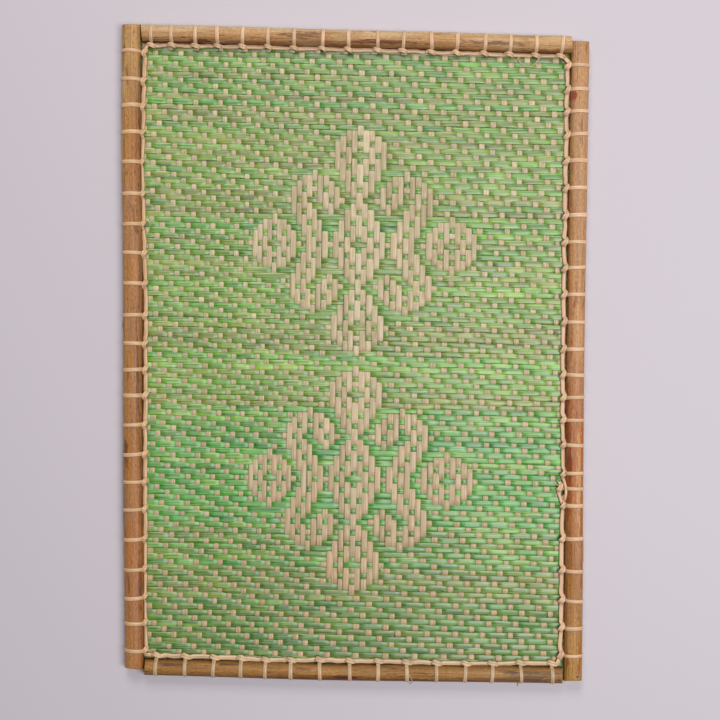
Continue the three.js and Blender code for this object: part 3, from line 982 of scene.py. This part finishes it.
UNDER_RUN = (
    # inward as a share of half the rod's width, inward added, up from the surface, face inward,
    # face up
    (-0.45, 0.0, 0.58, 0.0, -1.0),
    (-1.0, 0.5, 0.72, -0.4, -0.9),
    (-1.0, -0.12, 1.5, -1.0, -0.4),
    (-1.0, -0.18, 2.8, -1.0, 0.0),
)
KNOT_TOP = 2.5  # a knot's top is this far above the rod's base
LEAN = 0.40  # how far a stitch runs out of square under the rod,
LEAN_ROUND = 0.9  # and which share of it is left where it comes up
UNEVEN = 0.09  # how far the hand-sewn points stray,
RUNNER_UNEVEN = 0.15  # and the runner between and at the stitches, sideways


def stitch_places(side):
    """Even spacing between the outer stitches, plus the waves of the side's drift."""
    share = np.arange(side["stitches"]) / (side["stitches"] - 1)
    start = side["start"] + side["first"]
    end = side["end"] - side["last"]
    return start + (end - start) * share + wave_sum(share, side["drift"])


def stitch_controls(side, places, rng, runner):
    """The control points of stitches in the order of sewing, as an array of stitches by points by
    columns: in along the runner and through the knot, under the rod, over its back, and out."""
    count = len(places)
    inner = side["width"] / 2
    longer, deeper, further = side["knot"]

    def laid(table, from_edge):
        points = np.broadcast_to(np.array(table), (count, len(table), COLUMNS)).copy()
        points[..., ALONG] = places[:, None] - longer * points[..., ALONG]
        points[..., INWARD] *= deeper
        points[..., INWARD] += inner + from_edge + further * np.clip(points[..., UP] / KNOT_TOP, 0, 1)
        points[..., UP] += ROD_BASE
        points[..., FACE_ALONG] *= -1
        points[..., WIDE] *= side["strand"]
        points[..., THICK] *= STRAND_THICK
        points[..., PLACE] += rng.normal(0, UNEVEN, (count, len(table), 3))
        points[..., WIDE] *= 1 + rng.normal(0, 0.05, (count, 1))
        return points

    lean = rng.normal(0, LEAN, (count, 1))
    under = np.array(UNDER_RUN)
    below = np.zeros((count, len(under), COLUMNS))
    below[..., ALONG] = places[:, None] + lean * LEAN_ROUND
    below[..., INWARD] = inner * under[:, 0] + under[:, 1]
    below[..., UP] = under[:, 2]
    below[..., FACE_INWARD], below[..., FACE_UP] = under[:, 3], under[:, 4]
    below[..., WIDE], below[..., THICK] = ARM_WIDE, ARM_THICK

    angle = ARM_ANGLES[None, :]
    arm = np.zeros((count, len(ARM_ANGLES), COLUMNS))
    arm[..., ALONG] = places[:, None] + lean * np.linspace(LEAN_ROUND, 0, len(ARM_ANGLES))
    arm[..., INWARD], arm[..., UP] = rod_back(side, arm[..., ALONG], angle, ARM_THICK / 2 - ARM_SUNK)
    arm[..., FACE_INWARD], arm[..., FACE_UP] = np.cos(angle), np.sin(angle)
    arm[..., WIDE] = ARM_WIDE * (1 + rng.normal(0, 0.06, (count, 1)))
    arm[..., THICK] = ARM_THICK
    onto_runner = laid(IN_RUN, runner)
    return np.concatenate([onto_runner, below, arm, laid((OVER_EDGE,), 0.0), laid(OUT_RUN, runner)],
                          axis=1)


def smooth_path(controls, closed):
    """A Catmull-Rom curve through control points, with PATH_STEPS steps to each span. An open
    curve ends on its last point."""
    if closed:
        ring = np.concatenate([controls[-1:], controls, controls[:2]])
    else:
        ring = np.concatenate([controls[:1], controls, controls[-1:]])
    t = (np.arange(PATH_STEPS) / PATH_STEPS)[None, :, None]
    p0, p1, p2, p3 = (ring[i:len(ring) - 3 + i, None, :] for i in range(4))
    curve = 0.5 * (2 * p1 + (p2 - p0) * t + (2 * p0 - 5 * p1 + 4 * p2 - p3) * t ** 2
                   + (3 * p1 - 3 * p2 - p0 + p3) * t ** 3)
    curve = curve.reshape(-1, controls.shape[1])
    return curve if closed else np.concatenate([curve, controls[-1:]])


def turned_to_mat(side, controls):
    """Control points of a side, with their faces, moved into the mat's frame."""
    along, across = directions(side)
    face_along, face_inward = controls[:, FACE_ALONG, None], controls[:, FACE_INWARD, None]
    turned = controls.copy()
    turned[:, PLACE] = from_side(side, controls[:, PLACE])
    turned[:, [FACE_ALONG, FACE_INWARD]] = face_along * along + face_inward * across
    return turned


def strand_rings(path):
    """Rings of the strand's section along a path of control points' columns: the section is set
    square to the path's direction, its rounded side to the face, and its middle point drawn down
    by the groove."""
    centre = path[:, PLACE]
    tangent = np.gradient(centre, axis=0)
    tangent /= np.linalg.norm(tangent, axis=1, keepdims=True)
    face = path[:, FACE] - (path[:, FACE] * tangent).sum(1, keepdims=True) * tangent
    face /= np.linalg.norm(face, axis=1, keepdims=True)
    half_wide, half_thick = path[:, WIDE] / 2, path[:, THICK] / 2
    across = np.cross(face, tangent)
    rings = ribbon_rings(centre, across, face, STRAND_SECTION, half_wide, half_thick)
    rings[:, 0] -= (path[:, GROOVE] * half_thick)[:, None] * face
    rings[..., UP] = np.maximum(rings[..., UP], LOWEST)
    length = np.concatenate([[0], np.cumsum(np.linalg.norm(np.diff(centre, axis=0), axis=1))])
    return rings, length


SEWING_ORDER = ("top", "right", "bottom", "left")
PATH_STEPS = 3
WORN_ABOVE = 2.2  # the strand is worn from this far above the rod's base

# The strand's way past the splice, as (on from the spliced stitch, inward from the rod's inner
# edge, above the rod's base). It is slimmer there.
BYPASS = ((-4.4, 0.7, 1.8), (-0.6, -0.15, 3.3), (3.4, -0.25, 3.4), (6.4, 0.3, 2.2))
BYPASS_WIDE = 0.68
SPLICE_FURTHER = 1.9  # how much further in than the runner the spliced stitch is
# The new strand's way back to the runner, as (on from the stitch, outward from the stitch's own
# line, above the rod's base).
SPLICE_TAIL = ((4.6, 0.3, 0.55), (6.6, 0.9, 0.7), (8.6, 1.6, 0.8), (10.6, 2.2, 0.5))
TAIL_WIDE = 0.72

# Loose ends of cane and fibre. points: (along, across, above the rod's base), from the fixed end
# to the free one. wide: the width at both. thin: thickness as a share of the width.
LOOSE_ENDS = (
    dict(side="top", wide=(0.42, 0.30), thin=0.7, points=(
        (-102.0, 5.4, 1.2), (-99.8, 8.0, 1.9), (-97.6, 10.8, 1.3), (-93.9, 12.5, 0.9),
        (-89.7, 10.6, 0.9), (-88.5, 8.3, 0.9), (-88.1, 6.0, 0.6))),
    dict(side="top", wide=(0.34, 0.20), thin=0.7, points=(
        (-90.6, 6.0, 0.9), (-88.0, 8.2, 0.7), (-86.4, 10.2, 0.5))),
    dict(side="bottom", wide=(0.50, 0.25), thin=0.7, points=(
        (34.0, 0.6, 6.1), (36.0, -2.0, 5.9), (36.6, -4.5, 3.4), (36.2, -6.2, -0.8),
        (35.9, -7.4, -2.7))),
    dict(side="bottom", wide=(1.50, 0.55), thin=0.35, points=(
        (96.4, -2.8, -2.5), (96.3, -4.6, -2.5), (96.0, -6.4, -2.4), (95.8, -7.6, -2.2))),
    dict(side="bottom", wide=(1.60, 0.50), thin=0.45, points=(
        (-15.4, 6.0, 1.9), (-13.6, 6.3, 2.3), (-11.8, 6.8, 1.9), (-10.2, 7.4, 1.3))),
    dict(side="bottom", wide=(0.70, 0.20), thin=0.6, points=(
        (-16.5, 6.4, 1.9), (-16.6, 7.6, 2.1), (-16.1, 8.6, 1.5))),
    dict(side="left", wide=(0.55, 0.22), thin=0.6, points=(
        (-71.8, 7.4, 0.5), (-71.0, 9.0, 0.9), (-69.6, 9.6, 0.8), (-67.2, 9.3, 0.5), (-64.8, 8.7, 0.2))),
    dict(side="right", wide=(0.90, 0.30), thin=0.5, points=(
        (-70.2, 7.4, 1.6), (-68.6, 8.6, 1.9), (-67.0, 9.4, 1.4))),
    dict(side="right", wide=(0.60, 0.25), thin=0.5, points=(
        (-70.4, 7.8, 1.4), (-69.6, 9.6, 1.2), (-68.8, 10.8, 0.6))),
)


def bare_controls(side, rows):
    """Control points from rows of (along, inward from the rod's inner edge, above the rod's base,
    width, thickness), face up."""
    along, inward, above, wide, thick = np.array(rows, float).T
    controls = np.zeros((len(rows), COLUMNS))
    controls[:, ALONG] = along
    controls[:, INWARD] = side["width"] / 2 + inward
    controls[:, UP] = ROD_BASE + above
    controls[:, FACE_UP] = 1.0
    controls[:, WIDE], controls[:, THICK] = wide, thick
    return controls


def runner_middles(controls, rng):
    """Points between stitches where the runner rests on the sheet, bowed a little sideways."""
    middle = 0.5 * (controls[:-1, -1] + controls[1:, 0])
    middle[:, INWARD] += rng.normal(0, RUNNER_UNEVEN, len(middle))
    middle[:, UP] -= 0.06
    middle[:, WIDE] *= 1 + rng.normal(0, 0.05, len(middle))
    return middle


def bypass_controls(side):
    """The strand's way past the spliced stitch: slimmer, and up over the rod's inner edge."""
    wide = BYPASS_WIDE * side["strand"]
    return bare_controls(side, [(side["splice"] - on, inward, above, wide, STRAND_THICK)
                                for on, inward, above in BYPASS])


def side_path(side, rng):
    """The control points of one side's strand. The corner stitches lack the points that would
    run on straight, so that the strand crosses the corner from knot to knot. Beside a splice the
    strand takes its way past the spliced stitch."""
    places = stitch_places(side)[::-1]
    share = (places - side["start"]) / (side["end"] - side["start"])
    lay_at, lay = np.array(side["lay"]).T
    uneven = rng.normal(0, RUNNER_UNEVEN, len(places))
    runner = side["runner"] + np.interp(share, lay_at, lay) + uneven
    controls = stitch_controls(side, places, rng, runner[:, None])
    middle = runner_middles(controls, rng)[:, None]
    path = [controls[0, 2:]]
    for i in range(1, len(places)):
        beside = side["splice"] is not None and places[i] < side["splice"] < places[i - 1]
        path.append(bypass_controls(side) if beside else middle[i - 1])
        path.append(controls[i])
    path[-1] = path[-1][:-1]
    return turned_to_mat(side, np.concatenate(path))


def splice_path(side, rng):
    """A new length of strand: its cut end, one stitch set further in than the rest, and a stretch
    of runner that ends under the next knot."""
    inward = side["runner"] + SPLICE_FURTHER
    stitch = stitch_controls(side, np.array([side["splice"]]), rng, np.array([[inward]]))[0]
    wide = TAIL_WIDE * side["strand"]
    tail = bare_controls(side, [(side["splice"] - on, inward - closer, above, wide, STRAND_THICK)
                                for on, closer, above in SPLICE_TAIL])
    return turned_to_mat(side, np.concatenate([stitch[1:], tail]))


def loose_path(end):
    """A loose end's control points: its width runs from one end's to the other's."""
    side = SIDES[end["side"]]
    points = np.array(end["points"], float)
    wide = np.linspace(*end["wide"], len(points))
    points[:, 1] -= side["width"] / 2
    rows = np.column_stack([points, wide, wide * end["thin"]])
    return turned_to_mat(side, bare_controls(side, rows))


def lashing_piece(name, runs, material):
    """The runs of strand on one side as one mesh, a little darker and lighter along them, and
    darker over the rod where it is worn."""
    side = SIDES[name]
    rings, lengths = zip(*(strand_rings(run) for run in runs))
    above = np.concatenate([run[:, UP] for run in runs]) - ROD_BASE
    counts = np.array([len(r) for r in rings])
    starts_run = np.zeros(counts.sum(), bool)
    starts_run[np.cumsum(counts) - counts] = True
    length_at = np.concatenate(lengths)
    shade = 1 + 0.05 * np.sin(length_at / 9.0) + 0.04 * np.sin(length_at / 3.7 + 1.0)
    shade -= side["worn"] * np.clip(above - WORN_ABOVE, 0, 1)
    return swept_piece("lashing_" + name + "_cane", np.concatenate(rings), starts_run,
                       np.roll(starts_run, -1), length_at, shares_round(STRAND_SECTION),
                       {"shade": shade}, material)


def lashing_pieces(rng, materials):
    """One closed strand through every stitch of the four sides, clockwise, cut into one piece to
    a side in the middle of each corner crossing, and with it the splice and the loose ends."""
    paths = [side_path(SIDES[name], rng) for name in SEWING_ORDER]
    path = smooth_path(np.concatenate(paths), closed=True)
    ends = np.cumsum([len(p) for p in paths]) * PATH_STEPS
    starts = np.concatenate([[0], ends[:-1]])
    to_cut = PATH_STEPS // 2 - PATH_STEPS
    pieces = {}
    for name, start, end in zip(SEWING_ORDER, starts, ends):
        side = SIDES[name]
        runs = [path[np.arange(start + to_cut, end + to_cut + 1) % len(path)]]
        if side["splice"] is not None:
            runs.append(smooth_path(splice_path(side, rng), closed=False))
        runs += [smooth_path(loose_path(loose), closed=False)
                 for loose in LOOSE_ENDS if loose["side"] == name]
        pieces[name] = lashing_piece(name, runs, materials[name])
    return pieces


# ---- Making the pieces ---------------------------------------------------------------------------

# Bands of weft rows. warmth: from 0, emerald, over leaf green to 1, olive. light: how light the dyed
# strips are, on average, with painted shade in it: the first band, under and just below the top rod, is
# darkened as the rod's shadow, and from row 55 on the bands grow darker towards the mat's bottom end,
# partly as painted shade where the light falls off.
WEFT_BANDS = (
    # from row, warmth, light
    # Painted shadow of the top rod: this band is darkened.
    (-40, 0.95, 0.65),
    (-33, 0.58, 0.97),
    (-24, 0.82, 1.00),
    (-17, 0.66, 1.00),
    (-9, 0.88, 0.96),
    (-4, 0.58, 1.00),
    (5, 0.80, 1.04),
    (12, 0.56, 1.00),
    (19, 0.74, 0.97),
    (21, 0.56, 1.06),
    (28, 0.66, 0.99),
    (34, 0.26, 0.97),
    (39, 0.04, 1.00),
    (42, 0.24, 0.97),
    # From here down, darker towards the bottom end, partly as painted shade where the light falls off.
    (55, 0.62, 0.89),
    (58, 0.34, 0.91),
    (62, 0.60, 0.85),
    (68, 0.38, 0.74),
    (75, 0.45, 0.64),
)


def weft_values(strip, centre, of_float, rng):
    """Each weft takes its dye and its lightness from its band, with a seeded change of its own and slow
    waves along it; each float is a little lighter or darker, partly as painted sheen; and the weft is a
    little darker towards the mat's middle."""
    rows = FIRST_WEFT + np.arange(WEFTS["count"])
    from_row, *band_values = np.array(WEFT_BANDS).T
    band = np.searchsorted(from_row, rows, side="right") - 1
    warmth, light = (values[band] for values in band_values)
    warmth = warmth + rng.normal(0, 0.20, len(rows))
    light = light * rng.normal(1, 0.06, len(rows))
    phase = rng.uniform(0, TURN, len(rows))
    slow = np.sin(centre[:, 0] / 60 + phase[strip])
    in_middle = np.exp(-(centre[:, 0] / 55) ** 2)
    return {
        "strand": rng.uniform(0, 1, len(rows))[strip],
        "warmth": np.clip(warmth[strip] + 0.10 * slow + 0.05 * of_float, 0, 1),
        # Each float a little lighter or darker, partly as painted sheen of floats tilted to the light.
        "shade": light[strip] * (1 + 0.05 * of_float) * (1 - 0.08 * in_middle),
    }


def warp_values(strip, centre, of_float, rng):
    """Each warp has a seeded tone, and each float on it a small change of its own, partly painted
    sheen, which makes a few floats much creamier; the middle warp is the palest, and the floats grow
    rosier towards the mat's bottom end."""
    count = WARPS["count"]
    cream = rng.normal(0.25, 0.14, count)
    cream[-FIRST_WARP] = 0.8
    tone = rng.normal(1, 0.03, count)
    low = np.clip((20 - centre[:, 1]) / 150, 0, 1)
    return {
        "strand": rng.uniform(0, 1, count)[strip],
        # Partly painted sheen: each float a little creamier or less, and a few much creamier.
        "cream": np.clip(cream[strip] + 0.14 * of_float + 0.6 * (of_float > 1.9), 0, 1),
        "rosy": np.clip(0.14 + 0.55 * low + 0.12 * of_float, 0, 1),
        "shade": tone[strip] * (1 + 0.03 * of_float),
    }


rng = np.random.default_rng(21)
chart = weave_chart()
warp_set = strip_places(WARPS, rng)
weft_set = strip_places(WEFTS, rng)
wefts = woven_strips("mat_wefts", "x", WEFTS, weft_set, warp_set, ~chart, rng, weft_values,
                     dyed_weft())
warps = woven_strips("mat_warps", "y", WARPS, warp_set, weft_set, chart.T, rng, warp_values,
                     natural_warp())

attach(wefts, "root")
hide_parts("woven_mat")
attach(warps, "root")

for name, side in SIDES.items():
    bark = rod_bark("rod_bark_" + name, BARKS[name])
    rod = rod_piece("rod_" + name + "_bark", side, bark, NAIL_HOLES.get(name))
    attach(rod, "root")
    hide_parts("rod_" + name)

# Each cane's third colour is painted shade down its edges, and its last number is the strength of the
# painted shade along its middle.
peach = split_cane("cane_peach", (252, 214, 176), (220, 176, 136), (180, 120, 80), 0.25)
tan = split_cane("cane_tan", (248, 208, 164), (212, 166, 120), (168, 112, 70), 0.25)
cream = split_cane("cane_cream", (242, 211, 172), (216, 180, 138), (160, 114, 74), 0.40)
CANES = {"top": peach, "right": peach, "left": tan, "bottom": cream}
for name, piece in lashing_pieces(rng, CANES).items():
    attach(piece, "root")
    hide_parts("lashing_" + name)

# ---- Floor and light -----------------------------------------------------------------------------

FLOOR_HALF = 2.5  # metres
SKY = (0.95, 0.94, 1.0, 1)
SKY_STRENGTH = 0.158


def pale_floor():
    """A wide flat floor, lilac white, under everything."""
    corners = [(x * FLOOR_HALF, y * FLOOR_HALF, 0) for x, y in ((-1, -1), (1, -1), (1, 1), (-1, 1))]
    mesh = bpy.data.meshes.new("floor")
    mesh.from_pydata(corners, [], [(0, 1, 2, 3)])
    n = Nodes("floor_lilac_white")
    place = n.add("TexCoord").outputs["Object"]
    speck = n.add("TexNoise", {"Vector": place, "Scale": 400.0}).outputs[0]
    mesh.materials.append(n.finish(paint(214, 205, 211), 0.7, speck, 0.1, 0.0001))
    in_scene("floor", mesh)


def soft_lamp(name, place, aim, wide, high, watts, colour):
    """A soft lamp that looks at a point. place, aim, wide and high are in metres."""
    light = bpy.data.lights.new(name, "AREA")
    light.shape = "RECTANGLE"
    light.size, light.size_y = wide, high
    light.energy = watts
    light.color = colour
    lamp = in_scene(name, light)
    lamp.location = place
    lamp.rotation_euler = (Vector(aim) - Vector(place)).to_track_quat("-Z", "Y").to_euler()


def studio():
    """A soft lamp high beyond the mat's top end, another over its right side, and an even pale
    sky."""
    soft_lamp("key", (-0.12, 0.92, 0.92), (0, 0, 0), 0.60, 0.50, 6.3, (1, 0.985, 0.96))
    soft_lamp("sheen", (0.45, -0.10, 1.10), (0.10, 0.0, 0), 0.46, 0.70, 9.0, (0.97, 0.985, 1))
    world = bpy.data.worlds.new("pale_sky")
    world.use_nodes = True
    background = world.node_tree.nodes["Background"]
    background.inputs["Color"].default_value = SKY
    background.inputs["Strength"].default_value = SKY_STRENGTH
    bpy.context.scene.world = world


pale_floor()
studio()
bpy.context.scene.view_settings.view_transform = "Standard"
